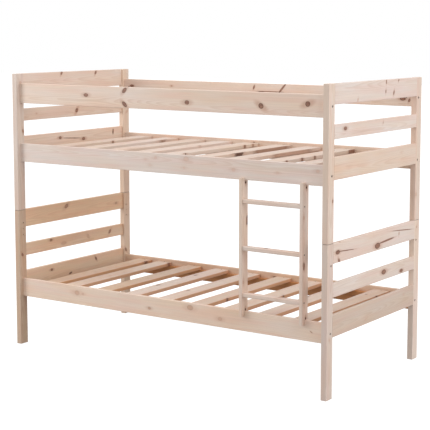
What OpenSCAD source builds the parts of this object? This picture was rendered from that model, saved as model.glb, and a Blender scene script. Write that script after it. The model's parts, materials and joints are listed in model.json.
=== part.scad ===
// Bunk bed: two stacking single beds of solid pine, with a ladder on the front.
// X runs along the bed, -Y is the front, Z is up.
// The origin is on the floor, under the middle of the bed.

/* [Beds] */
// Length of a bed over its posts
bed_length = 2070; // [1950:5:2200]
// Width of a bed over its posts
bed_width = 1005; // [900:5:1300]
// Height of each of the two beds
bed_height = 780; // [700:5:850]
// Post size along the bed
post_w = 33; // [30:1:60]
// Post size across the bed
post_d = 57; // [50:1:80]
// Thickness of the rail and slat boards
board = 20; // [18:1:25]

/* [End panels] */
// Height of the top rail of an end panel
panel_top_h = 102; // [80:1:120]
// Height of the middle rail
panel_mid_h = 70; // [50:1:90]
// Height of the bottom rail
panel_low_h = 112; // [90:1:130]
// Top of the middle rail, below the post tops
panel_mid_drop = 200; // [160:1:220]
// Top of the bottom rail, below the post tops
panel_low_drop = 358; // [330:1:370]

/* [Long rails] */
// Front face of a long rail, behind the front face of its posts
set_back = 26; // [20:1:30]
// Top of a side rail, below the post tops
side_drop = 396; // [370:1:410]
// Height of a side rail
side_h = 104; // [95:1:120]
// Middle of the guard rails, below the post tops
guard_drop = 110; // [95:1:125]
// Height of the front guard rail
front_guard_h = 112; // [90:1:120]
// Height of the rear guard rail
rear_guard_h = 98; // [90:1:120]

/* [Slats] */
// Slats in each bed
slat_count = 9; // [6:1:9]
// Width of a slat
slat_w = 100; // [70:1:105]
// Lower bed: left edge of the first slat, right of the left end panel
low_slat_start = 89; // [70:1:100]
// Lower bed: step from one slat to the next
low_slat_step = 214; // [170:1:214]
// Upper bed: left edge of the first slat, right of the left end panel
top_slat_start = 132; // [70:1:150]
// Upper bed: step from one slat to the next
top_slat_step = 205; // [170:1:212]
// Slat tops, below the tops of the side rails
slat_drop = 15; // [10:1:40]
// Height of the bearers that carry the slats
bearer_h = 30; // [25:1:35]

/* [Ladder] */
// Left face of the left upright
ladder_x = 515; // [100:1:560]
// Distance between the left faces of the two uprights
ladder_pitch = 359; // [300:1:420]
// Thickness of an upright
upright_t = 18; // [18:1:25]
// Height of a rung
rung_h = 22; // [20:1:30]
// Depth of a rung, front to back
rung_d = 30; // [25:1:40]
// Middle of the lowest rung, above the lower side rail
first_rung = 88; // [70:1:110]
// Step from one rung to the next
rung_step = 241; // [200:1:260]
// Rungs
rung_count = 3; // [2:1:4]
// How far an upright laps down over the lower rail
lap_low = 24; // [15:1:30]
// How far an upright laps up over the upper rail
lap_top = 12; // [8:1:30]

/* [Hidden] */
$fn = 48;
e = 1;              // overshoot of a cut past the face that it opens
seat_gap = 0.3;     // upper bed to lower bed, at each place where one rests on the other
slip = 0.05;        // radial clearance of every pin, dowel and screw in its bore
// How far each slat has slipped along X from its even place, in the lower and in the upper bed
slat_slip = [[36, -23, -7, -18, -6, 0, 0, 0, 0], [0, 0, -4, -12, -27, -8, -13, 3, 0]];

upper_z = bed_height + seat_gap;
rail_len = bed_length - 2 * post_w;
rail_axis = set_back + board / 2;
panel_len = bed_width - 2 * post_d;
inner_w = bed_width - 2 * (set_back + board);
side_mid_drop = side_drop + side_h / 2;

bolt_d = 6;
bolt_head_d = 12;
bolt_head_t = 5;
bolt_sink = 8;          // depth of the recess for a bolt head
bolt_sink_d = 13;
bolt_reach = 45;        // how far a bolt enters its rail
nut_d = 10;
nut_len = 12;
nut_in = 38;            // middle of a barrel nut, from the end of its rail

dowel_d = 8;
dowel_len = 40;
rail_dowel_in = 18;     // depth of a rail dowel in its post
panel_dowel_in = 20;    // depth of a panel dowel in its post
dowel_step = 34;        // rail dowels above and below their bolt
bore_slack = 1;         // each blind bore is this much deeper than its dowel

pin_d = 10;
pin_len = 60;

screw_d = 4;
screw_head_d = 8;
screw_len = 34;

lower_rail_top = bed_height - side_drop;
upper_rail_foot = upper_z + bed_height - side_drop - side_h;
shoulder_low = lower_rail_top + seat_gap;
rung_in = 6;            // rung behind the front face of its uprights
rung_len = ladder_pitch - upright_t;
rung_screw_d = 5;
rung_screw_len = 50;
rung_head_d = 9;
rung_head_t = 3;
rung_sink = 4;          // depth of the recess for a rung screw
fix_d = 4.5;
fix_len = 36;
fix_head_d = 8;
fix_head_t = 3;
pocket_d = 9;
pocket_low = 3.5;       // wood left between a pocket and the end of its upright
pocket_top = 8.5;

// Panel dowels, below the post tops. Those of the bottom rail miss the side rail's bolt.
panel_dowels = [
    [panel_top_h / 2 - 30, panel_top_h / 2 + 30],
    [panel_mid_drop + panel_mid_h / 2 - 18, panel_mid_drop + panel_mid_h / 2 + 18],
    [panel_low_drop + 18, panel_low_drop + 72],
];
panel_drop = [0, panel_mid_drop, panel_low_drop];
panel_h = [panel_top_h, panel_mid_h, panel_low_h];

pine = [0.87, 0.75, 0.62];
beech = [0.80, 0.66, 0.50];
steel = [0.45, 0.44, 0.42];

// ---- Helpers ----

// A round bar along +X from the point
module bar_x(d, length) {
    rotate([0, 90, 0]) cylinder(d = d, h = length);
}

// A round bar along +Y from the point
module bar_y(d, length) {
    rotate([-90, 0, 0]) cylinder(d = d, h = length);
}

// Puts a shape drawn for the front left corner at any corner.
// The outer edge of the post is on the local Z axis, +X and +Y point into the bed.
module corner(side, face) {
    translate([side * bed_length / 2, face * bed_width / 2, 0])
        mirror([side > 0 ? 1 : 0, 0, 0])
            mirror([0, face > 0 ? 1 : 0, 0])
                children();
}

// Puts a shape at every corner
module corners() {
    for (side = [-1, 1])
        for (face = [-1, 1])
            corner(side, face) children();
}

function dowel_pair(mid) = [mid - dowel_step, mid + dowel_step];

// A wood screw along -Z with its flat head at the top
module screw(length) {
    difference() {
        union() {
            translate([0, 0, -length]) cylinder(d = screw_d, h = length - 1);
            translate([0, 0, -2.5]) cylinder(d1 = screw_d, d2 = screw_head_d, h = 2.5);
        }
        translate([-1, -1, -1.5]) cube([2, 2, 1.5 + e]);
    }
}

// The hole that a wood screw leaves
module screw_bore(length) {
    translate([0, 0, -length - bore_slack]) cylinder(d = screw_d + 2 * slip, h = length + bore_slack + e);
    translate([0, 0, -2.5]) cylinder(d1 = screw_d + 2 * slip, d2 = screw_head_d + 2 * slip, h = 2.5);
    cylinder(d = screw_head_d + 2 * slip, h = e);
}

// ---- Posts ----

// The recess and the through bore of a rail bolt, and its two dowel bores, in a post
module post_rail_bores(drop) {
    translate([0, rail_axis, bed_height - drop]) {
        translate([-e, 0, 0]) bar_x(bolt_sink_d, bolt_sink + e);
        bar_x(bolt_d + 2 * slip, post_w + e);
    }
    for (at = dowel_pair(drop))
        translate([post_w - rail_dowel_in - bore_slack, rail_axis, bed_height - at])
            bar_x(dowel_d + 2 * slip, rail_dowel_in + bore_slack + e);
}

// The dowel bores for the three rails of the end panel
module post_panel_bores() {
    for (pair = panel_dowels, at = pair)
        translate([board / 2, post_d - panel_dowel_in - bore_slack, bed_height - at])
            bar_y(dowel_d + 2 * slip, panel_dowel_in + bore_slack + e);
}

// The bore for a stacking pin, into the top or the bottom end of a post
module pin_bore() {
    translate([post_w / 2, post_d / 2, -pin_len / 2 - bore_slack])
        cylinder(d = pin_d + 2 * slip, h = pin_len + 2 * bore_slack);
}

module post_blank() {
    difference() {
        cube([post_w, post_d, bed_height]);
        post_rail_bores(guard_drop);
        post_rail_bores(side_mid_drop);
        post_panel_bores();
    }
}

module lower_post(side, face) {
    color(pine) corner(side, face) difference() {
        post_blank();
        translate([0, 0, bed_height]) pin_bore();
    }
}

module upper_post(side, face) {
    color(pine) corner(side, face) translate([0, 0, upper_z]) difference() {
        post_blank();
        pin_bore();
    }
}

module lower_post_front_left() { lower_post(-1, -1); }
module lower_post_front_right() { lower_post(1, -1); }
module lower_post_rear_left() { lower_post(-1, 1); }
module lower_post_rear_right() { lower_post(1, 1); }
module upper_post_front_left() { upper_post(-1, -1); }
module upper_post_front_right() { upper_post(1, -1); }
module upper_post_rear_left() { upper_post(-1, 1); }
module upper_post_rear_right() { upper_post(1, 1); }

// ---- End panels ----

// One of the three rails of an end panel, 0 at the top
module panel_rail(side, which, base) {
    rest_len = dowel_len - panel_dowel_in + bore_slack;
    color(pine) translate([0, 0, base]) difference() {
        corner(side, -1)
            translate([0, post_d, bed_height - panel_drop[which] - panel_h[which]])
                cube([board, panel_len, panel_h[which]]);
        for (face = [-1, 1], at = panel_dowels[which])
            corner(side, face)
                translate([board / 2, post_d - e, bed_height - at])
                    bar_y(dowel_d + 2 * slip, rest_len + e);
    }
}

module lower_left_top_rail() { panel_rail(-1, 0, 0); }
module lower_left_mid_rail() { panel_rail(-1, 1, 0); }
module lower_left_low_rail() { panel_rail(-1, 2, 0); }
module lower_right_top_rail() { panel_rail(1, 0, 0); }
module lower_right_mid_rail() { panel_rail(1, 1, 0); }
module lower_right_low_rail() { panel_rail(1, 2, 0); }
module upper_left_top_rail() { panel_rail(-1, 0, upper_z); }
module upper_left_mid_rail() { panel_rail(-1, 1, upper_z); }
module upper_left_low_rail() { panel_rail(-1, 2, upper_z); }
module upper_right_top_rail() { panel_rail(1, 0, upper_z); }
module upper_right_mid_rail() { panel_rail(1, 1, upper_z); }
module upper_right_low_rail() { panel_rail(1, 2, upper_z); }

// ---- Long rails ----

// Bores in the end of a long rail: the bolt, its barrel nut from the inner face, and two dowels
module rail_end_bores(drop) {
    dowel_rest = dowel_len - rail_dowel_in + bore_slack;
    translate([post_w, rail_axis, bed_height - drop]) {
        translate([-e, 0, 0]) bar_x(bolt_d + 2 * slip, bolt_reach + bore_slack + e);
        translate([nut_in, -nut_len / 2, 0])
            bar_y(nut_d + 2 * slip, nut_len / 2 + board / 2 + e);
    }
    for (at = dowel_pair(drop))
        translate([post_w - e, rail_axis, bed_height - at]) bar_x(dowel_d + 2 * slip, dowel_rest + e);
}

// A long rail whose middle is this far below the post tops
module long_rail(face, drop, height, base) {
    translate([0, 0, base]) difference() {
        corner(-1, face)
            translate([post_w, set_back, bed_height - drop - height / 2]) cube([rail_len, board, height]);
        for (side = [-1, 1]) corner(side, face) rail_end_bores(drop);
    }
}

// The long rail that carries the slats of a bed, with bores for the screws of its bearer
module side_rail(bed, face) {
    difference() {
        long_rail(face, side_mid_drop, side_h, bed_z[bed]);
        at_bearer_screws(bed, face) screw_bore(screw_len);
    }
}

// The front side rails also take the screws of the ladder
module lower_side_rail_front() {
    color(pine) difference() {
        side_rail(0, -1);
        ladder_fixing_bores();
    }
}

module upper_side_rail_front() {
    color(pine) difference() {
        side_rail(1, -1);
        ladder_fixing_bores();
    }
}

module lower_side_rail_rear() { color(pine) side_rail(0, 1); }
module upper_side_rail_rear() { color(pine) side_rail(1, 1); }
module guard_rail_front() { color(pine) long_rail(-1, guard_drop, front_guard_h, upper_z); }
module guard_rail_rear() { color(pine) long_rail(1, guard_drop, rear_guard_h, upper_z); }

// ---- Slatted bases, of bed 0 and of bed 1 ----

bed_z = [0, upper_z];
slat_start = [low_slat_start, top_slat_start];
slat_step = [low_slat_step, top_slat_step];
slat_z = bed_height - side_drop - slat_drop;
slat_len = inner_w - 2;
bearer_z = slat_z - board - bearer_h;
bearer_half = rail_len / 2 - nut_in - nut_d / 2 - 13;   // clear of the barrel nuts

function even_x(bed, i) = -bed_length / 2 + board + slat_start[bed] + slat_w / 2 + i * slat_step[bed];
function slat_x(bed, i) = even_x(bed, i) + slat_slip[bed][i];

// A place in each gap between two slats, in the middle of the bearer's inner face, facing -Z
module at_bearer_screws(bed, face) {
    for (i = [0 : slat_count - 2])
        translate([even_x(bed, i) + slat_step[bed] / 2, face * (inner_w / 2 - board),
                   bed_z[bed] + bearer_z + bearer_h / 2])
            rotate([face * 90, 0, 0]) children();
}

// Each end of each slat, over the middle of its bearer
module at_slat_screws(bed) {
    for (i = [0 : slat_count - 1], face = [-1, 1])
        translate([slat_x(bed, i), face * (inner_w - board) / 2, bed_z[bed] + slat_z]) children();
}

module bearer(bed, face) {
    y = face > 0 ? inner_w / 2 - board : -inner_w / 2;
    color(pine) difference() {
        translate([-bearer_half, y, bed_z[bed] + bearer_z]) cube([2 * bearer_half, board, bearer_h]);
        at_slat_screws(bed) screw_bore(screw_len);
        at_bearer_screws(bed, face) screw_bore(screw_len);
    }
}

module slats(bed) {
    color(pine) difference() {
        for (i = [0 : slat_count - 1])
            translate([slat_x(bed, i) - slat_w / 2, -slat_len / 2, bed_z[bed] + slat_z - board])
                cube([slat_w, slat_len, board]);
        at_slat_screws(bed) screw_bore(screw_len);
    }
}

module bearer_screws(bed) {
    color(steel) for (face = [-1, 1]) at_bearer_screws(bed, face) screw(screw_len);
}

module lower_bearer_front() { bearer(0, -1); }
module lower_bearer_rear() { bearer(0, 1); }
module upper_bearer_front() { bearer(1, -1); }
module upper_bearer_rear() { bearer(1, 1); }
module lower_slats() { slats(0); }
module upper_slats() { slats(1); }
module lower_bearer_screws() { bearer_screws(0); }
module upper_bearer_screws() { bearer_screws(1); }
module lower_slat_screws() { color(steel) at_slat_screws(0) screw(screw_len); }
module upper_slat_screws() { color(steel) at_slat_screws(1) screw(screw_len); }

// ---- Rail fasteners ----

// A socket-head bolt with its head in the recess of the post
module rail_bolt(drop) {
    translate([bolt_sink - bolt_head_t, rail_axis, bed_height - drop]) difference() {
        union() {
            bar_x(bolt_head_d, bolt_head_t);
            bar_x(bolt_d, bolt_head_t + post_w - bolt_sink + bolt_reach);
        }
        translate([-e, 0, 0]) rotate([0, 90, 0]) cylinder(d = 5.8, h = 3 + e, $fn = 6);
    }
}

// The barrel nut that the bolt is threaded through
module barrel_nut(drop) {
    translate([post_w + nut_in, rail_axis - nut_len / 2, bed_height - drop]) difference() {
        bar_y(nut_d, nut_len);
        translate([-nut_d, nut_len / 2, 0]) bar_x(bolt_d + 2 * slip, 2 * nut_d);
    }
}

module rail_dowels(drop) {
    for (at = dowel_pair(drop))
        translate([post_w - rail_dowel_in, rail_axis, bed_height - at]) bar_x(dowel_d, dowel_len);
}

module panel_dowel_set(base) {
    color(beech) translate([0, 0, base]) corners()
        for (pair = panel_dowels, at = pair)
            translate([board / 2, post_d - panel_dowel_in, bed_height - at]) bar_y(dowel_d, dowel_len);
}

module lower_bolts() { color(steel) corners() rail_bolt(side_mid_drop); }
module lower_barrel_nuts() { color(steel) corners() barrel_nut(side_mid_drop); }
module lower_rail_dowels() { color(beech) corners() rail_dowels(side_mid_drop); }
module lower_panel_dowels() { panel_dowel_set(0); }

module upper_bolts() {
    color(steel) translate([0, 0, upper_z]) corners()
        for (drop = [guard_drop, side_mid_drop]) rail_bolt(drop);
}

module upper_barrel_nuts() {
    color(steel) translate([0, 0, upper_z]) corners()
        for (drop = [guard_drop, side_mid_drop]) barrel_nut(drop);
}

module upper_rail_dowels() {
    color(beech) translate([0, 0, upper_z]) corners()
        for (drop = [guard_drop, side_mid_drop]) rail_dowels(drop);
}

module upper_panel_dowels() { panel_dowel_set(upper_z); }

// Steel pins in the tops of the lower posts, which the upper posts drop over
module stacking_pins() {
    color(steel) corners()
        translate([post_w / 2, post_d / 2, bed_height - pin_len / 2]) cylinder(d = pin_d, h = pin_len);
}

// ---- Ladder ----

front_y = -bed_width / 2;

function rung_z(i) = lower_rail_top + first_rung + i * rung_step;

// The vertical screws that hold the uprights to the edges of the two side rails.
// Each is drawn along -Z with its head at the origin.
module at_ladder_fixings() {
    for (x = [ladder_x, ladder_x + ladder_pitch]) {
        translate([x + upright_t / 2, front_y + rail_axis, shoulder_low + pocket_low]) children();
        translate([x + upright_t / 2, front_y + rail_axis, upper_rail_foot - pocket_top])
            mirror([0, 0, 1]) children();
    }
}

module ladder_fixing_bores() {
    at_ladder_fixings()
        translate([0, 0, -fix_len - bore_slack]) cylinder(d = fix_d + 2 * slip, h = fix_len + bore_slack + e);
}

// A pocket in the right face of an upright, where the head of a fixing screw sits
module pocket() {
    translate([-pocket_d / 2, 0, pocket_d / 2]) bar_x(pocket_d, upright_t);
    translate([-pocket_d / 2, -pocket_d / 2, 0]) cube([upright_t, pocket_d, pocket_d / 2]);
}

// A screw through an upright into the end of a rung, drawn along +X from the face of the upright
module at_rung_screws() {
    for (i = [0 : rung_count - 1]) {
        translate([ladder_x, front_y + rung_in + rung_d / 2, rung_z(i)]) children();
        translate([ladder_x + ladder_pitch + upright_t, front_y + rung_in + rung_d / 2, rung_z(i)])
            mirror([1, 0, 0]) children();
    }
}

module rung_screw_bore() {
    translate([-e, 0, 0]) bar_x(rung_head_d + 2 * slip, rung_sink + e);
    bar_x(rung_screw_d + 2 * slip, rung_sink + rung_screw_len + bore_slack);
}

// Side view of an upright: the front part laps over both rails, the rest stands between them
module upright_side() {
    top_tip = upper_rail_foot + lap_top;
    low_tip = lower_rail_top - lap_low;
    polygon([
        [0, low_tip],
        [set_back - seat_gap, low_tip],
        [set_back - seat_gap, shoulder_low],
        [post_d, shoulder_low],
        [post_d, upper_rail_foot],
        [set_back, upper_rail_foot],
        [set_back, top_tip],
        [0, top_tip],
    ]);
}

module upright(x) {
    color(pine) difference() {
        translate([x, front_y, 0])
            rotate([90, 0, 90]) linear_extrude(height = upright_t) upright_side();
        at_ladder_fixings() pocket();
        ladder_fixing_bores();
        at_rung_screws() rung_screw_bore();
    }
}

module rung(i) {
    color(pine) difference() {
        translate([ladder_x + upright_t, front_y + rung_in, rung_z(i) - rung_h / 2])
            cube([rung_len, rung_d, rung_h]);
        at_rung_screws() rung_screw_bore();
    }
}

module ladder_upright_left() { upright(ladder_x); }
module ladder_upright_right() { upright(ladder_x + ladder_pitch); }
module ladder_rung_1() { rung(0); }
module ladder_rung_2() { rung(1); }
module ladder_rung_3() { rung(2); }

module ladder_rung_screws() {
    color(steel) at_rung_screws() difference() {
        union() {
            translate([rung_sink - rung_head_t, 0, 0]) bar_x(rung_head_d, rung_head_t);
            translate([rung_sink, 0, 0]) bar_x(rung_screw_d, rung_screw_len);
        }
        translate([rung_sink - rung_head_t - e, -2.5, -0.5]) cube([e + 1.5, 5, 1]);
        translate([rung_sink - rung_head_t - e, -0.5, -2.5]) cube([e + 1.5, 1, 5]);
    }
}

module ladder_fixing_screws() {
    color(steel) at_ladder_fixings() {
        translate([0, 0, -fix_len]) cylinder(d = fix_d, h = fix_len);
        cylinder(d = fix_head_d, h = fix_head_t);
    }
}

// ---- Assembly ----

lower_post_front_left();
lower_post_front_right();
lower_post_rear_left();
lower_post_rear_right();
lower_left_top_rail();
lower_left_mid_rail();
lower_left_low_rail();
lower_right_top_rail();
lower_right_mid_rail();
lower_right_low_rail();
lower_side_rail_front();
lower_side_rail_rear();
lower_bearer_front();
lower_bearer_rear();
lower_slats();
lower_bolts();
lower_barrel_nuts();
lower_rail_dowels();
lower_panel_dowels();
lower_bearer_screws();
lower_slat_screws();
stacking_pins();
upper_post_front_left();
upper_post_front_right();
upper_post_rear_left();
upper_post_rear_right();
upper_left_top_rail();
upper_left_mid_rail();
upper_left_low_rail();
upper_right_top_rail();
upper_right_mid_rail();
upper_right_low_rail();
upper_side_rail_front();
upper_side_rail_rear();
guard_rail_front();
guard_rail_rear();
upper_bearer_front();
upper_bearer_rear();
upper_slats();
upper_bolts();
upper_barrel_nuts();
upper_rail_dowels();
upper_panel_dowels();
upper_bearer_screws();
upper_slat_screws();
ladder_upright_left();
ladder_upright_right();
ladder_rung_1();
ladder_rung_2();
ladder_rung_3();
ladder_rung_screws();
ladder_fixing_screws();
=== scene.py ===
"""Bunk bed with ladder: the looks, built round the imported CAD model.

Metres, Z up, the front is -Y. Every pine part of the model is redrawn as a board with rounded
edges, cut by the part's own CAD solid so that its bores and recesses stay, and carries its own
grain and knots as attributes that one pine material reads.
"""
import json
import math
import random

import bmesh
import bpy
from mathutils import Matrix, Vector

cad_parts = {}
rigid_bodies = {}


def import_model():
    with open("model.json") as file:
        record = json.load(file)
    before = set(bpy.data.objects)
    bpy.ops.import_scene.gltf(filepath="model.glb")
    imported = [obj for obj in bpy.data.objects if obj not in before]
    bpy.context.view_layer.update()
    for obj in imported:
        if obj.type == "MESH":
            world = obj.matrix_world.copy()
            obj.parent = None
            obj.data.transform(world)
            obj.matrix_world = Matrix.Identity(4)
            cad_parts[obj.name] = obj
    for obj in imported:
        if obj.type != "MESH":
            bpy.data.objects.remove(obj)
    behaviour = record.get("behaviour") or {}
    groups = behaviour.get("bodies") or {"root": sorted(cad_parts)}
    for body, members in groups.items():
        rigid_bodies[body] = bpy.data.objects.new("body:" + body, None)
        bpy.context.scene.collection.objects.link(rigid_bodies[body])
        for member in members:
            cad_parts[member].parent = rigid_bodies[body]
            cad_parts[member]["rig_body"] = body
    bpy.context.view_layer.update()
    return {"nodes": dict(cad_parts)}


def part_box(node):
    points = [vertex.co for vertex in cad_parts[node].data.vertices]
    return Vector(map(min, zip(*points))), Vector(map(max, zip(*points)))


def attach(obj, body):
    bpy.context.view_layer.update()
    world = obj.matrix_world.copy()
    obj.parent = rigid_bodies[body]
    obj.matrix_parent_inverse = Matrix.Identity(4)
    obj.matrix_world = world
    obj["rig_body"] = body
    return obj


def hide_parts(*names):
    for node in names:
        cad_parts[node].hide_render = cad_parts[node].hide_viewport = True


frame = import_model()

MM = 0.001
EDGE_RADIUS = 2.5 * MM        # long edges of rails, slats and posts
POST_END_RADIUS = 2.2 * MM    # arris at both ends of a post
RUNG_RADIUS = 4 * MM
ARC_STEPS = 4                 # flats across one rounded edge
SMOOTH_BELOW = math.radians(35)
SLAT_GAP = 50 * MM            # more than from the edge of a slat to its screws, less than any gap
UPRIGHT_GAP = 0.3 * MM        # ladder upright to the rail that it laps
SKIN = 0.02 * MM              # a drawn board is this much smaller than its solid on every side
SAME = 0.001 * MM             # points closer together than this are one
DEEP = 3 * MM                 # vertices further in than this are in a bore, which gets painted shade
EVERYWHERE = 1                # a height in metres above the upper edge of any board
KNOTS_PER_BOARD = 8
NO_KNOT = (9.0, 9.0, 0.001, 0.0, 1.0, 0.0)  # far outside any board


def knot(along, across, radius, dark=0.8, stretch=1.3, slope=0.0):
    """A knot's place in metres from the board's middle, its radius in mm, how dark it is, how many
    times longer it is than wide, and the angle of its long side to the board in degrees."""
    return (along, across, radius * MM, dark, stretch, math.radians(slope))


# The knots and dark marks of the boards that are looked at most, where the real bed has them; a few of
# them are painted shade, as noted beside them. Every other board draws its own at random.
KNOTS = {
    "guard_rail_front": [
        knot(-.511, .005, 9, .75, 1.6), knot(-.241, .039, 9, .9, 1.8, 45),
        knot(-.241, -.036, 9, 1, 1.8, -40),
        knot(.173, -.011, 10, .8), knot(.630, -.012, 11, 1, 1.2, -30), knot(.901, .008, 11, 1, 1.1, 20)],
    "guard_rail_rear": [
        knot(-.939, .008, 6, 1.2, 2), knot(-.630, .016, 5, .5), knot(-.026, .025, 5, .8, 2.2, 70),
        knot(.170, .024, 4.5, 1, 7, 48), knot(.085, .003, 2, 1, 40), knot(.025, .001, 3, 1, 5),
        knot(.945, -.009, 8, 1.1, 1.8), knot(.984, -.016, 5, 1, 1.6, 70)],
    "upper_left_top_rail": [knot(-.109, .044, 6, 1, 1.5, 60), knot(.199, .037, 6, 1, 1.4, 60)],
    "upper_left_mid_rail": [knot(.021, .0, 9, 1, 1.3, 55), knot(-.329, .0, 4, .4)],
    "upper_left_low_rail": [
        knot(-.129, .024, 7, 1), knot(.080, .004, 8, 1), knot(-.024, .015, 2.2, .9, 30, -4),
        knot(.359, .028, 5, 1.1, 2.6, 85)],
    "upper_right_top_rail": [
        knot(.088, .039, 5, .7, 1.8, 85), knot(.227, .043, 4, .7, 1.6, 60),
        knot(.083, -.009, 5, .7, 1.5, 80),
        knot(.174, -.019, 6, .8, 1.8, 70), knot(-.215, -.038, 5, .4, 1.4, 70)],
    "upper_right_mid_rail": [knot(-.339, .011, 8, .9, 1.7), knot(.058, .015, 4, .5, 1.4, 70)],
    "upper_right_low_rail": [knot(-.299, -.009, 8, .15), knot(.276, .022, 6, .2)],
    "lower_right_top_rail": [
        knot(-.402, .001, 9, 1, 1.9), knot(-.329, -.001, 2, 1, 40, -4), knot(-.389, -.043, 7, .9, 1.5, -60),
        knot(.015, -.027, 13, .95, 1.8), knot(.117, -.013, 4, .9, 18, 3), knot(.297, .018, 2, .9, 50, -5),
        knot(.259, .004, 5, .5, 1.5, 80), knot(-.381, .052, 4, .5)],
    "lower_right_mid_rail": [knot(.089, .007, 11, 1, 1.8), knot(.292, -.018, 8, 1, 1.9)],
    "lower_right_low_rail": [knot(-.100, -.030, 8, .2), knot(.326, .024, 5, .3)],
    "lower_left_top_rail": [knot(-.083, .027, 10, .6, 1.6, 30), knot(.381, -.008, 7, .5)],
    "lower_left_mid_rail": [
        knot(.317, .003, 8, .65, 1.6, 50), knot(-.223, .024, 7, .7, 1.5), knot(-.111, -.010, 8, .4, 2.5),
        knot(.110, .002, 8, .4, 1.6, -50)],
    "lower_left_low_rail": [
        knot(-.220, .024, 6, 1.1), knot(-.055, -.023, 4.5, 1.1, 2.5, 15),
        knot(.182, .031, 6, 1.1, 1.6, -55)],
    "lower_side_rail_front": [
        knot(-.594, .013, 12, .4, 1.3), knot(-.551, .012, 6, .35), knot(-.082, -.009, 7, .5, 1.2),
        knot(.189, .028, 12, .45, 1.5), knot(.381, -.008, 9, .4), knot(.931, -.002, 2.5, .55, 3, -30)],
    "upper_side_rail_front": [
        knot(-.102, .016, 6, .2), knot(-.033, .028, 7, .3), knot(.167, .033, 11, .3, 1.5),
        knot(-.071, -.014, 7, .2), knot(.154, -.015, 6, .25), knot(.465, -.005, 8, .3),
        knot(.729, -.002, 6, .25), knot(.961, .020, 8, .3)],
    "upper_side_rail_rear": [knot(-.882, .027, 5, .7), knot(-.025, .036, 6, .7)],
    "ladder_upright_left": [
        knot(.137, .022, 7, 1.2, 3, 5), knot(-.180, -.012, 6, .4),
        knot(.331, .007, 5, 1, 1.1), knot(-.324, .007, 5, 1, 1.1)],  # the last two knots here and on the right upright are painted shade in and round the pockets
    "ladder_upright_right": [
        knot(.183, -.015, 7, .4), knot(-.060, -.012, 7, .8, 2.5),
        # the last two knots are painted shade in and round the pockets
        knot(.331, .007, 5, 1, 1.1), knot(-.324, .007, 5, 1, 1.1)],
    # On the upper slats the marks at across .048 to .050 are dark streaks and spots on the slats' side
    # faces; the long streak of upper_slat_7 and the last mark of upper_slat_5 are painted shade of those
    # sides.
    "upper_slat_1": [knot(.078, .050, 5), knot(.027, .008, 5, .5)],
    "upper_slat_2": [knot(.296, .048, 2, .6, 25), knot(-.187, -.003, 6, .4)],
    "upper_slat_3": [knot(-.227, .033, 1.8, 1.3, 40)],
    "upper_slat_4": [knot(.129, .044, 5, .6, 3), knot(.416, -.035, 5, .5)],
    "upper_slat_5": [knot(-.268, .044, 6, .9), knot(.308, .050, 5, 1), knot(.394, .050, 5, .6)],
    "upper_slat_6": [knot(-.084, .048, 2, 1, 30), knot(.245, .050, 2, .6, 80), knot(.449, .006, 5, .8)],
    "upper_slat_7": [knot(.145, .050, 2, .5, 90), knot(-.190, .016, 4, .4, 16)],
    "upper_slat_8": [
        knot(-.271, .050, 4, 1.1, 1.4), knot(-.117, .050, 6, 1), knot(.012, .050, 5, .8),
        knot(.414, .050, 5, .8, 6)],
    "upper_slat_9": [knot(.272, -.039, 6, .7, 12)],
    "lower_slat_1": [knot(-.033, .004, 5, .3), knot(.396, .050, 9, 1.2, 1.2)],
    "lower_slat_2": [knot(.427, .050, 7, 1.1), knot(-.085, .006, 6, .3)],
    "lower_slat_3": [knot(.419, -.045, 6, .6)],
    "lower_slat_4": [knot(.208, -.020, 7, .9, 1.6), knot(-.141, -.029, 7, .8, 2.2)],
    "lower_slat_5": [knot(-.168, -.025, 6, .6, 2)],
    "lower_slat_6": [knot(-.210, .050, 5, 1)],
    "lower_slat_7": [knot(.021, .050, 5, 1)],
    "lower_slat_8": [knot(.065, -.036, 7, .7)],
    "lower_slat_9": [knot(.296, .050, 5, 1.1), knot(.296, -.015, 6, .6)],
}

# Brightness and warmth of these boards. Every other board draws its own at random.
TONES = {
    "upper_side_rail_front": (1.0, .1), "guard_rail_front": (1.05, .4), "lower_side_rail_front": (1.09, .5),
    "upper_right_top_rail": (.96, .1), "upper_right_mid_rail": (.97, .15), "upper_right_low_rail": (.96, .5),
    "lower_right_top_rail": (.98, .15), "lower_right_mid_rail": (.96, .25),
    "lower_right_low_rail": (.83, .45),
    "upper_left_top_rail": (1.0, .35), "upper_left_mid_rail": (.98, .45), "upper_left_low_rail": (1.08, .5),
    "lower_left_top_rail": (1.1, 1.1), "lower_left_mid_rail": (1.03, .9), "lower_left_low_rail": (1.07, .9),
    "upper_post_front_right": (.95, .35), "lower_post_front_right": (.91, .25),
    "upper_post_front_left": (.95, .3), "lower_post_front_left": (.80, .8),
    "upper_post_rear_left": (1.0, .5), "lower_post_rear_left": (.97, .7),
    "upper_post_rear_right": (.96, .35), "lower_post_rear_right": (1.01, .3),
    "ladder_upright_left": (1.03, .35), "ladder_upright_right": (1.0, .3),
    "lower_side_rail_rear": (1.0, .85), "upper_side_rail_rear": (1.0, .5), "guard_rail_rear": (1.0, .4),
    "ladder_rung_1": (1.0, .2), "ladder_rung_2": (1.0, .25), "ladder_rung_3": (1.0, .15),
    "lower_slat_1": (.97, .8), "lower_slat_2": (1.02, .45), "lower_slat_3": (.94, .8),
    "lower_slat_4": (1.05, .3), "lower_slat_5": (1.07, .35), "lower_slat_6": (1.0, .6),
    "lower_slat_7": (1.05, .5), "lower_slat_8": (1.0, .3), "lower_slat_9": (.97, .6),
    "upper_slat_1": (.97, .4), "upper_slat_2": (1.0, .3), "upper_slat_3": (.98, .45),
    "upper_slat_4": (1.0, .3), "upper_slat_5": (.98, .4), "upper_slat_6": (1.0, .35),
    "upper_slat_7": (.98, .3), "upper_slat_8": (1.0, .4), "upper_slat_9": (.97, .35),
}

# Height of the joint between the lower and the upper posts.
POST_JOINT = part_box("lower_post_front_left")[1].z
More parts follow.
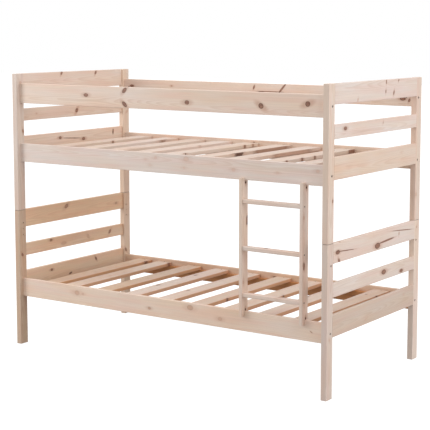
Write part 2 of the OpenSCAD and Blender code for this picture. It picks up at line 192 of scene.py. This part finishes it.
# Height of the lower bearers above the foot of their side rail.
BEARER_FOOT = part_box("lower_bearer_rear")[0].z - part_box("lower_side_rail_rear")[0].z

# How much painted warm shade lies on the wood round a slatted base, where shade falls: on its bearers,
# on the sawn sides of the slats and on the inner face of the lower rear rail, below its bearer.
AMBER_SHADE = {"lower_bearer": .95, "lower_slat": .65, "lower_side": .9, "upper_bearer": .4}


# ---- Boards ----

def by_length(low, high):
    """The axes of a box, longest first: along the board, across it and through it."""
    return sorted(range(3), key=lambda i: low[i] - high[i])


def at(co, axis, value):
    """Whether a point lies at this value on the axis."""
    return abs(co[axis] - value) < SAME


def rounded_box(low, high, radius, end_radius):
    """A board from corner to corner with rounded long edges, and rounded ends if end_radius isn't 0."""
    low = [value + SKIN for value in low]
    high = [value - SKIN for value in high]
    bm = bmesh.new()
    bmesh.ops.create_cube(bm, size=1)
    for v in bm.verts:
        v.co = Vector([low[i] if v.co[i] < 0 else high[i] for i in range(3)])
    along = by_length(low, high)[0]
    long_edges = [e for e in bm.edges if not at(e.verts[0].co, along, e.verts[1].co[along])]
    bmesh.ops.bevel(bm, geom=long_edges, offset=radius, segments=ARC_STEPS, profile=0.5, affect="EDGES")
    if end_radius:
        end_edges = [e for e in bm.edges for end in (low[along], high[along])
                     if all(at(v.co, along, end) for v in e.verts)]
        bmesh.ops.bevel(bm, geom=end_edges, offset=end_radius, segments=2, profile=0.5, affect="EDGES")
    return bm


def rounded_upright(low, high, radius):
    """A ladder upright: its front part laps over both side rails, the rest stands between them."""
    lower_low, lower_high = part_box("lower_side_rail_front")
    upper_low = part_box("upper_side_rail_front")[0]
    shoulder = lower_high.z + UPRIGHT_GAP
    side_view = [
        (low.y, low.z), (lower_low.y - UPRIGHT_GAP, low.z), (lower_low.y - UPRIGHT_GAP, shoulder),
        (high.y, shoulder), (high.y, upper_low.z), (upper_low.y, upper_low.z),
        (upper_low.y, high.z), (low.y, high.z),
    ]
    bm = bmesh.new()
    left = bm.faces.new([bm.verts.new((low.x, y, z)) for y, z in side_view])
    grown = bmesh.ops.extrude_face_region(bm, geom=[left])
    for v in grown["geom"]:
        if isinstance(v, bmesh.types.BMVert):
            v.co.x = high.x
    bmesh.ops.recalc_face_normals(bm, faces=bm.faces)
    rims = [e for e in bm.edges if at(e.verts[0].co, 0, e.verts[1].co.x)]
    bmesh.ops.bevel(bm, geom=rims, offset=radius, segments=ARC_STEPS, profile=0.5, affect="EDGES")
    return bm


def as_object(bm, name):
    mesh = bpy.data.meshes.new(name)
    bm.to_mesh(mesh)
    bm.free()
    piece = bpy.data.objects.new(name, mesh)
    bpy.context.scene.collection.objects.link(piece)
    return piece


def closed_copy(node):
    """The solid of a CAD node as a closed mesh."""
    bm = bmesh.new()
    bm.from_mesh(frame["nodes"][node].data)
    bmesh.ops.remove_doubles(bm, verts=bm.verts, dist=SAME)
    return as_object(bm, node + "_solid")


def carve(piece, node):
    """Keeps of the piece what lies in the CAD solid, which gives it that part's bores and recesses."""
    solid = closed_copy(node)
    cut = piece.modifiers.new("cut", "BOOLEAN")
    cut.operation = "INTERSECT"
    cut.solver = "EXACT"
    cut.object = solid
    bpy.context.view_layer.update()
    result = bpy.data.meshes.new_from_object(piece.evaluated_get(bpy.context.evaluated_depsgraph_get()))
    piece.modifiers.clear()
    old = piece.data
    piece.data = result
    bpy.data.meshes.remove(old)
    result.name = piece.name
    bpy.data.meshes.remove(solid.data)


def round_off(piece):
    """Smooth rounded edges next to flat faces."""
    piece.data.shade_smooth()
    piece.data.set_sharp_from_angle(angle=SMOOTH_BELOW)
    weighted = piece.modifiers.new("weighted", "WEIGHTED_NORMAL")
    weighted.keep_sharp = True


def random_knots(draw, length, width):
    """Knots as they fall in ordinary pine: one every 0.3 to 0.8 m."""
    count = min(KNOTS_PER_BOARD, round(length * draw.uniform(1.2, 3.0)))
    knots = []
    for _ in range(count):
        along = draw.uniform(-0.47, 0.47) * length
        across = draw.uniform(-0.42, 0.42) * width
        radius = draw.uniform(4, 9)
        dark = draw.uniform(0.3, 1.0)
        stretch = draw.uniform(1.1, 1.9)
        slope = draw.uniform(-60, 60)
        knots.append(knot(along, across, radius, dark, stretch, slope))
    return knots


def fill(mesh, name, kind, values):
    key = "vector" if kind == "FLOAT_VECTOR" else "value"
    mesh.attributes.new(name, kind, "POINT").data.foreach_set(key, values)


def end_shade(board, z, along, length):
    """Painted shade in the joint between two posts and on the ends of the slats: 1 on the very end of a slat
    and on the joint between two posts, 0 where the end's rounding starts.
    """
    if "post" in board:
        return max(0, 1 - abs(z - POST_JOINT) / POST_END_RADIUS)
    if "slat" in board:
        return max(0, 1 - (length / 2 - abs(along)) / EDGE_RADIUS)
    return 0


def amber(board, place, width):
    """How much painted warm shade the board has at one vertex, the height across it under which that
    counts, and a 0 that fills up the vector."""
    kind = "_".join(board.split("_")[:2])
    share = AMBER_SHADE.get(kind, 0)
    if "slat" in kind:
        return (share * max(0, 1 - (width / 2 - abs(place[1])) / EDGE_RADIUS), EVERYWHERE, 0)
    if board == "lower_side_rail_rear":
        return (share if place[2] < 0 else 0, BEARER_FOOT - width / 2, 0)
    return (share if "bearer" in kind else 0, EVERYWHERE, 0)


def mark_surface(mesh, board, places, size):
    """Masks of the rounded edges, the painted shade in the bores, on the slat ends and in the post joints,
    and the painted warm shade of a board.
    """
    depths = [(size[2] / 2 - abs(place[2])) / EDGE_RADIUS for place in places]  # 0 to 1 on a rounded edge
    fill(mesh, "edge", "FLOAT", [4 * d * (1 - d) if 0 < d < 1 else 0 for d in depths])
    inner = [min(size[i] / 2 - abs(place[i]) for i in range(3)) > DEEP for place in places]
    fill(mesh, "bore", "FLOAT", [float(deep) for deep in inner])
    seam_shades = [end_shade(board, v.co.z, place[0], size[0]) for v, place in zip(mesh.vertices, places)]
    fill(mesh, "seam", "FLOAT", seam_shades)
    amber_shades = [amber(board, place, size[1]) for place in places]
    fill(mesh, "amber", "FLOAT_VECTOR", [n for numbers in amber_shades for n in numbers])


def number_board(mesh, board, draw, size):
    """What is the same all over a board: its tone, where its pith line lies, and its knots."""
    count = len(mesh.vertices)
    drawn = (draw.uniform(0.94, 1.03), draw.uniform(0.45, 0.85))
    own = [draw.uniform(0, 1), *TONES.get(board, drawn)]
    fill(mesh, "board", "FLOAT_VECTOR", own * count)
    pith = [draw.uniform(-0.5, 0.5) * size[1], -draw.uniform(0.02, 0.07), draw.uniform(-0.02, 0.02)]
    fill(mesh, "pith", "FLOAT_VECTOR", pith * count)
    drawn = random_knots(draw, size[0], size[1])
    knots = KNOTS.get(board, drawn)
    knots = knots + [NO_KNOT] * (KNOTS_PER_BOARD - len(knots))
    for k, numbers in enumerate(knots):
        fill(mesh, f"knot_{k}", "FLOAT_VECTOR", numbers[:3] * count)
        fill(mesh, f"knot_form_{k}", "FLOAT_VECTOR", numbers[3:] * count)


def grain(piece, low, high):
    """Gives the board its grain frame, its masks and its own numbers, which the pine material reads."""
    mesh = piece.data
    board = piece.name.removesuffix("_board")
    middle = (Vector(low) + Vector(high)) / 2
    axes = by_length(low, high)
    size = [high[a] - low[a] for a in axes]
    places = [[(v.co - middle)[a] for a in axes] for v in mesh.vertices]
    fill(mesh, "grain", "FLOAT_VECTOR", [n for place in places for n in place])
    mark_surface(mesh, board, places, size)
    number_board(mesh, board, random.Random(piece.name), size)


def finish_board(piece, node, low, high, material):
    carve(piece, node)
    round_off(piece)
    grain(piece, low, high)
    piece.data.materials.clear()
    piece.data.materials.append(material)
    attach(piece, frame["nodes"][node]["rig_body"])
    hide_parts(node)


# ---- Materials ----

class Shader:
    """A material's node tree. Every call adds one node and returns its output."""

    def __init__(self, name):
        self.material = bpy.data.materials.new(name)
        self.material.use_nodes = True
        self.tree = self.material.node_tree
        self.surface = self.tree.nodes["Principled BSDF"]

    def put(self, socket, value):
        if isinstance(value, bpy.types.NodeSocket):
            self.tree.links.new(value, socket)
        else:
            socket.default_value = value

    def node(self, kind, **settings):
        node = self.tree.nodes.new(kind)
        for key, value in settings.items():
            setattr(node, key, value)
        return node

    def math(self, operation, *values):
        node = self.node("ShaderNodeMath", operation=operation)
        for socket, value in zip(node.inputs, values):
            self.put(socket, value)
        return node.outputs[0]

    def add(self, a, b):
        return self.math("ADD", a, b)

    def sub(self, a, b):
        return self.math("SUBTRACT", a, b)

    def mul(self, a, b):
        return self.math("MULTIPLY", a, b)

    def length(self, a, b):
        return self.math("SQRT", self.add(self.mul(a, a), self.mul(b, b)))

    def vector(self, x, y, z):
        node = self.node("ShaderNodeCombineXYZ")
        for socket, value in zip(node.inputs, (x, y, z)):
            self.put(socket, value)
        return node.outputs[0]

    def parts(self, vector):
        node = self.node("ShaderNodeSeparateXYZ")
        self.put(node.inputs[0], vector)
        return node.outputs

    def attribute(self, name, output="Vector"):
        return self.node("ShaderNodeAttribute", attribute_name=name).outputs[output]

    def scaled(self, vector, scale):
        node = self.node("ShaderNodeVectorMath", operation="MULTIPLY")
        self.put(node.inputs[0], vector)
        self.put(node.inputs[1], scale)
        return node.outputs[0]

    def moved(self, vector, step):
        node = self.node("ShaderNodeVectorMath", operation="ADD")
        self.put(node.inputs[0], vector)
        self.put(node.inputs[1], step)
        return node.outputs[0]

    def noise(self, place, scale, detail, output=0):
        """Output 0 is one value from 0 to 1, and output 1 three of them."""
        node = self.node("ShaderNodeTexNoise")
        self.put(node.inputs["Vector"], self.scaled(place, scale))
        node.inputs["Scale"].default_value = 1
        node.inputs["Detail"].default_value = detail
        return node.outputs[output]

    def ease(self, value, start, stop):
        """0 before start, 1 after stop, and a smooth step between."""
        node = self.node("ShaderNodeMapRange", interpolation_type="SMOOTHSTEP")
        for socket, number in zip(node.inputs, (value, start, stop)):
            self.put(socket, number)
        return node.outputs[0]

    def between(self, value, low, high):
        """Stretches 0 to 1 over low to high."""
        return self.math("MULTIPLY_ADD", value, high - low, low)

    def mix(self, share, a, b, blend="MIX"):
        node = self.node("ShaderNodeMix", data_type="RGBA", blend_type=blend)
        for index, value in ((0, share), (6, a), (7, b)):
            self.put(node.inputs[index], value)
        return node.outputs[2]

    def bump(self, height, strength, distance):
        node = self.node("ShaderNodeBump")
        node.inputs["Strength"].default_value = strength
        node.inputs["Distance"].default_value = distance
        self.put(node.inputs["Height"], height)
        return node.outputs[0]


def rgb(r, g, b):
    return (r, g, b, 1.0)


PALE_WOOD = rgb(0.765, 0.665, 0.610)
WARM_WOOD = rgb(0.750, 0.535, 0.365)
LATE_TINT = rgb(0.870, 0.800, 0.740)
BLUSH_TINT = rgb(1.000, 0.930, 0.920)
KNOT_HALO = rgb(0.50, 0.270, 0.175)
KNOT_HEART = rgb(0.20, 0.085, 0.055)
KNOT_RIM = rgb(0.09, 0.036, 0.023)
KNOT_SOFT = rgb(0.66, 0.395, 0.270)
# lighter colour on the rounded edges: wear and a painted highlight
WORN_EDGE_AND_HIGHLIGHT = rgb(0.76, 0.650, 0.560)
# dark amber of the painted warm shade round the slatted base
AMBER_SHADE_COLOUR = rgb(0.66, 0.290, 0.110)
# nearly black painted shade for the bores, the slat ends and the joints between posts
PAINTED_SHADE = rgb(0.07, 0.035, 0.022)
BEECH_DEEP = rgb(0.60, 0.40, 0.24)
BEECH_PALE = rgb(0.70, 0.50, 0.32)
BEECH_FLECK = rgb(0.40, 0.22, 0.12)
ZINC_BROWN = rgb(0.055, 0.047, 0.042)
ZINC_GREY = rgb(0.16, 0.155, 0.15)
PAPER_DIM = rgb(0.27, 0.265, 0.26)
PAPER_PALE = rgb(0.30, 0.295, 0.29)
WHITE = rgb(1.0, 1.0, 1.0)
RING_STEP = 2.9 * MM          # from one annual ring to the next

# How fine each noise is along, across and through a board, per metre.
DRIFT_SCALE = (1.3, 6.0, 6.0)            # slow bends of the rings
RIPPLE_SCALE = (7.0, 60.0, 60.0)         # small waves of the rings
WANDER_SCALE = (120.0, 160.0, 160.0)     # unevenness of a knot's outline
STREAK_SCALE = (4.0, 170.0, 170.0)
FIBRE_SCALE = (60.0, 2200.0, 2200.0)
CLOUD_SCALE = (3.0, 14.0, 14.0)
BLUSH_SCALE = (2.3, 26.0, 26.0)
RING_DEPTH_SCALE = (1.7, 9.0, 9.0)

# How much of its own colour each mark puts over the wood.
EDGE_SHARE = 0.35
HALO_SHARE = 0.55
KNOT_SHARE = 0.92
RIM_SHARE = 0.85
SEAM_SHARE = 0.75
BORE_SHARE = 0.85

STAIN_WIDTH = 0.4             # a knot's stain is at most this times as wide as it is long
KNOT_PULL = 0.9               # how far a knot pushes the rings round it aside
HALO_REACH = (0.8, 2.3)       # where a knot's stain starts to fade and where it ends, in knot radii


def knot_field(s, u, v, wander):
    """How far the knots push the grain aside, and masks of their stained surround, body and bark rim."""
    shift = halo = body = rim = 0.0
    for k in range(KNOTS_PER_BOARD):
        ku, kv, radius = s.parts(s.attribute(f"knot_{k}"))
        dark, stretch, slope = s.parts(s.attribute(f"knot_form_{k}"))
        du = s.sub(u, ku)
        dv = s.sub(v, kv)
        cosine = s.math("COSINE", slope)
        sine = s.math("SINE", slope)
        lengthwise = s.math("DIVIDE", s.add(s.mul(du, cosine), s.mul(dv, sine)), stretch)
        sideways = s.sub(s.mul(dv, cosine), s.mul(du, sine))
        near = s.math("DIVIDE", s.length(lengthwise, sideways), radius)
        tail = s.math("MINIMUM", s.mul(stretch, STAIN_WIDTH), 1.0)
        reach = s.math("DIVIDE", s.length(s.mul(lengthwise, tail), sideways), radius)
        pull = s.math("DIVIDE", dv, s.math("MAXIMUM", s.mul(reach, reach), 1.0))
        shift = s.add(shift, s.mul(pull, KNOT_PULL))
        near = s.add(near, wander)
        halo = s.math("MAXIMUM", halo, s.mul(dark, s.sub(1.0, s.ease(reach, *HALO_REACH))))
        body = s.math("MAXIMUM", body, s.mul(dark, s.sub(1.0, s.ease(near, 0.95, 1.15))))
        ring = s.mul(s.ease(near, 0.76, 1.03), s.sub(1.0, s.ease(near, 1.10, 1.26)))
        rim = s.math("MAXIMUM", rim, s.mul(s.mul(dark, dark), ring))
    return shift, halo, body, rim


def pine_material():
    """Planed knotty pine. Annual rings lie round a pith line beside the board, so faces show
    their cathedral pattern and sawn ends the arcs."""
    s = Shader("pine")
    place = s.attribute("grain")
    seed, brightness, warmth = s.parts(s.attribute("board"))
    pith_v, pith_w, tilt = s.parts(s.attribute("pith"))
    local = s.moved(place, s.vector(s.mul(seed, 31.0), s.mul(seed, 17.0), s.mul(seed, 7.0)))
    u, v, w = s.parts(place)
    # where the painted warm shade lies, and below which height across the board
    amber_shade_share, amber_shade_top, _ = s.parts(s.attribute("amber"))
    under = s.math("LESS_THAN", v, amber_shade_top)

    drift = s.parts(s.noise(local, DRIFT_SCALE, 1.0, output=1))
    ripple = s.noise(local, RIPPLE_SCALE, 1.0)
    wander = s.between(s.noise(local, WANDER_SCALE, 2.0), -0.22, 0.22)
    shift, halo, body, rim = knot_field(s, u, v, wander)

    ring_v = s.sub(s.sub(s.add(v, s.between(drift[0], -0.02, 0.02)), shift), pith_v)
    ring_w = s.sub(s.add(w, s.between(drift[1], -0.012, 0.012)), s.add(pith_w, s.mul(u, tilt)))
    reach = s.add(s.length(ring_v, ring_w), s.between(ripple, -0.0009, 0.0009))
    turn = s.math("FRACT", s.mul(reach, 1 / RING_STEP))
    late = s.sub(s.ease(turn, 0.30, 0.90), s.ease(turn, 0.93, 1.0))

    streak = s.noise(local, STREAK_SCALE, 3.0)
    fibre = s.noise(local, FIBRE_SCALE, 2.0)
    cloud = s.noise(local, CLOUD_SCALE, 2.0)
    blush = s.noise(local, BLUSH_SCALE, 2.0)
    ring_depth = s.between(s.noise(local, RING_DEPTH_SCALE, 1.0), 0.15, 0.80)

    colour = s.mix(s.add(warmth, s.between(cloud, -0.45, 0.45)), PALE_WOOD, WARM_WOOD)
    colour = s.mix(s.mul(late, ring_depth), colour, LATE_TINT, blend="MULTIPLY")
    colour = s.mix(s.ease(blush, 0.40, 0.65), colour, BLUSH_TINT, blend="MULTIPLY")
    shade = s.add(s.between(streak, 0.90, 1.10), s.between(fibre, -0.05, 0.05))
    shade = s.mul(shade, brightness)
    colour = s.mix(1.0, colour, s.vector(shade, shade, shade), blend="MULTIPLY")
    # lighter towards the middle of each rounded edge: wear and a painted highlight
    colour = s.mix(s.mul(s.attribute("edge", "Fac"), EDGE_SHARE), colour, WORN_EDGE_AND_HIGHLIGHT)
    # painted warm shade: dark amber where shade falls round the slatted base
    colour = s.mix(s.mul(amber_shade_share, under), colour, AMBER_SHADE_COLOUR)
    colour = s.mix(s.mul(halo, HALO_SHARE), colour, KNOT_HALO)
    whorl = s.math("FRACT", s.mul(reach, 3 / RING_STEP))
    heart = s.mix(s.mul(whorl, 0.5), KNOT_HEART, KNOT_HALO)
    heart = s.mix(s.ease(body, 0.25, 0.8), KNOT_SOFT, heart)
    colour = s.mix(s.mul(s.ease(body, 0.0, 0.7), KNOT_SHARE), colour, heart)
    colour = s.mix(s.mul(rim, RIM_SHARE), colour, KNOT_RIM)
    # painted shade, nearly black: in the joint between two posts, on the ends of the slats and inside the
    # bores
    colour = s.mix(s.mul(s.attribute("seam", "Fac"), SEAM_SHARE), colour, PAINTED_SHADE)
    colour = s.mix(s.mul(s.attribute("bore", "Fac"), BORE_SHARE), colour, PAINTED_SHADE)

    rough = s.add(s.between(streak, 0.40, 0.56), s.mul(late, -0.05))
    rough = s.add(rough, s.mul(body, -0.08))
    height = s.add(s.mul(late, 0.6), s.add(s.mul(fibre, 0.5), s.mul(rim, -0.8)))
    s.put(s.surface.inputs["Base Color"], colour)
    s.put(s.surface.inputs["Roughness"], rough)
    s.put(s.surface.inputs["Normal"], s.bump(height, 0.35, 0.00025))
    s.surface.inputs["Specular IOR Level"].default_value = 0.35
    return s.material


def beech_material():
    """Turned dowels: paler and darker patches with short dark flecks."""
    s = Shader("beech")
    place = s.node("ShaderNodeTexCoord").outputs["Object"]
    fleck = s.ease(s.noise(place, (900.0, 900.0, 900.0), 2.0), 0.56, 0.68)
    cloud = s.noise(place, (60.0, 60.0, 60.0), 3.0)
    colour = s.mix(cloud, BEECH_DEEP, BEECH_PALE)
    colour = s.mix(s.mul(fleck, 0.6), colour, BEECH_FLECK)
    s.put(s.surface.inputs["Base Color"], colour)
    s.put(s.surface.inputs["Roughness"], s.between(cloud, 0.52, 0.68))
    s.put(s.surface.inputs["Normal"], s.bump(s.sub(cloud, fleck), 0.3, 0.0002))
    return s.material


def steel_material():
    """Dark burnished zinc over steel, browner in patches and finely scratched."""
    s = Shader("steel")
    place = s.node("ShaderNodeTexCoord").outputs["Object"]
    patch = s.noise(place, (260.0, 260.0, 260.0), 4.0)
    scratch = s.noise(place, (1500.0, 5200.0, 5200.0), 2.0)
    colour = s.mix(s.ease(patch, 0.35, 0.70), ZINC_BROWN, ZINC_GREY)
    s.put(s.surface.inputs["Base Color"], colour)
    rough = s.add(s.between(patch, 0.34, 0.52), s.between(scratch, -0.06, 0.06))
    s.put(s.surface.inputs["Roughness"], rough)
    s.put(s.surface.inputs["Normal"], s.bump(scratch, 0.2, 0.00005))
    s.surface.inputs["Metallic"].default_value = 1.0
    return s.material


def floor_material():
    """Paper: the camera sees it as white as the room, but it throws little light up at the bed."""
    s = Shader("floor")
    place = s.node("ShaderNodeTexCoord").outputs["Object"]
    cloud = s.noise(place, (0.8, 0.8, 0.8), 3.0)
    seen = s.node("ShaderNodeLightPath").outputs["Is Camera Ray"]
    s.put(s.surface.inputs["Base Color"], s.mix(cloud, PAPER_DIM, PAPER_PALE))
    s.put(s.surface.inputs["Roughness"], s.between(cloud, 0.72, 0.86))
    s.put(s.surface.inputs["Emission Color"], WHITE)
    s.put(s.surface.inputs["Emission Strength"], s.mul(seen, FLOOR_GLOW))
    s.surface.inputs["Specular IOR Level"].default_value = 0.1
    return s.material


# ---- The bed ----

def is_hardware(node):
    return node.endswith(("_bolts", "_nuts", "_screws", "_pins"))


def is_dowels(node):
    return node.endswith("_dowels")


def build_boards(pine):
    for node in frame["nodes"]:
        if is_hardware(node) or is_dowels(node):
            continue
        low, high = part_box(node)
        if node.endswith("_slats"):
            build_slats(node, low, high, pine)
            continue
        if "upright" in node:
            bm = rounded_upright(low, high, EDGE_RADIUS)
        elif "post" in node:
            bm = rounded_box(low, high, EDGE_RADIUS, POST_END_RADIUS)
        elif "rung" in node:
            bm = rounded_box(low, high, RUNG_RADIUS, 0)
        else:
            bm = rounded_box(low, high, EDGE_RADIUS, 0)
        finish_board(as_object(bm, node + "_board"), node, low, high, pine)


def build_slats(node, low, high, pine):
    """All slats of a bed share one CAD node. Each is a board of its own here."""
    for i, (left, right) in enumerate(slat_spans(node)):
        slat_low = Vector((left, low.y, low.z))
        slat_high = Vector((right, high.y, high.z))
        bm = rounded_box(slat_low, slat_high, EDGE_RADIUS, EDGE_RADIUS)
        piece = as_object(bm, f"{node[:-1]}_{i + 1}")
        finish_board(piece, node, slat_low, slat_high, pine)


def slat_spans(node):
    """The left and right edge of each slat: no vertex lies between one slat and the next."""
    xs = sorted(v.co.x for v in frame["nodes"][node].data.vertices)
    lefts = [xs[0]] + [b for a, b in zip(xs, xs[1:]) if b - a > SLAT_GAP]
    rights = [a for a, b in zip(xs, xs[1:]) if b - a > SLAT_GAP] + [xs[-1]]
    return zip(lefts, rights)


def dress_hardware(steel, beech):
    for node, part in frame["nodes"].items():
        if is_hardware(node):
            finish = steel
        elif is_dowels(node):
            finish = beech
        else:
            continue
        for slot in part.material_slots:
            slot.material = finish


# ---- Room, light and camera ----

WORLD_LIGHT = 0.75            # how bright the studio is to everything but the camera
BACKDROP = 1.0                # how bright the camera sees the studio beyond the floor
FLOOR_GLOW = 0.90             # what the camera sees the floor shine by itself
LIT_POINT = Vector((0.2, 0, 0.8))  # all lamps point here
CAMERA_PLACE = (4.0731, -5.7745, 1.8394)
CAMERA_ANGLES = (83.257, -0.172, 33.300)  # degrees
CAMERA_LENS = 106.4           # mm, on a sensor of SENSOR_WIDTH mm
SENSOR_WIDTH = 36
CAMERA_SHIFT = (-0.093, -0.093)
CLIP_END = 100
FLOOR_HALF = 30               # half the side of the floor, in metres
LAMPS = [  # name, place, size in metres and power in watts
    ("key", (4.6, -1.6, 4.4), 2.5, 72),
    ("right", (6.2, 0.6, 1.4), 2.5, 96),
    ("front", (-0.5, -7.0, 2.6), 4.0, 17),
    ("top", (0.2, 0.2, 5.2), 3.0, 41),
    ("left", (-5.0, -4.0, 3.0), 3.0, 182),
]


def build_floor():
    bm = bmesh.new()
    bmesh.ops.create_grid(bm, x_segments=2, y_segments=2, size=FLOOR_HALF)
    floor = as_object(bm, "floor")
    floor.data.materials.append(floor_material())


def light_room():
    world = bpy.data.worlds.new("studio")
    bpy.context.scene.world = world
    world.use_nodes = True
    tree = world.node_tree
    sky = tree.nodes["Background"]
    sky.inputs["Color"].default_value = WHITE
    seen = tree.nodes.new("ShaderNodeLightPath").outputs["Is Camera Ray"]
    strength = tree.nodes.new("ShaderNodeMapRange")
    strength.inputs["To Min"].default_value = WORLD_LIGHT
    strength.inputs["To Max"].default_value = BACKDROP
    tree.links.new(seen, strength.inputs["Value"])
    tree.links.new(strength.outputs[0], sky.inputs["Strength"])
    for name, place, size, power in LAMPS:
        lamp = bpy.data.lights.new(name, "AREA")
        lamp.shape = "SQUARE"
        lamp.size = size
        lamp.energy = power
        piece = bpy.data.objects.new(name, lamp)
        piece.location = place
        piece.rotation_euler = (LIT_POINT - Vector(place)).to_track_quat("-Z", "Y").to_euler()
        bpy.context.scene.collection.objects.link(piece)


def place_camera():
    data = bpy.data.cameras.new("camera")
    data.lens = CAMERA_LENS
    data.sensor_width = SENSOR_WIDTH
    data.shift_x, data.shift_y = CAMERA_SHIFT
    data.clip_end = CLIP_END
    camera = bpy.data.objects.new("camera", data)
    camera.location = CAMERA_PLACE
    camera.rotation_euler = [math.radians(angle) for angle in CAMERA_ANGLES]
    bpy.context.scene.collection.objects.link(camera)
    bpy.context.scene.camera = camera


bpy.context.scene.view_settings.view_transform = "Standard"
build_boards(pine_material())
dress_hardware(steel_material(), beech_material())
build_floor()
light_room()
place_camera()
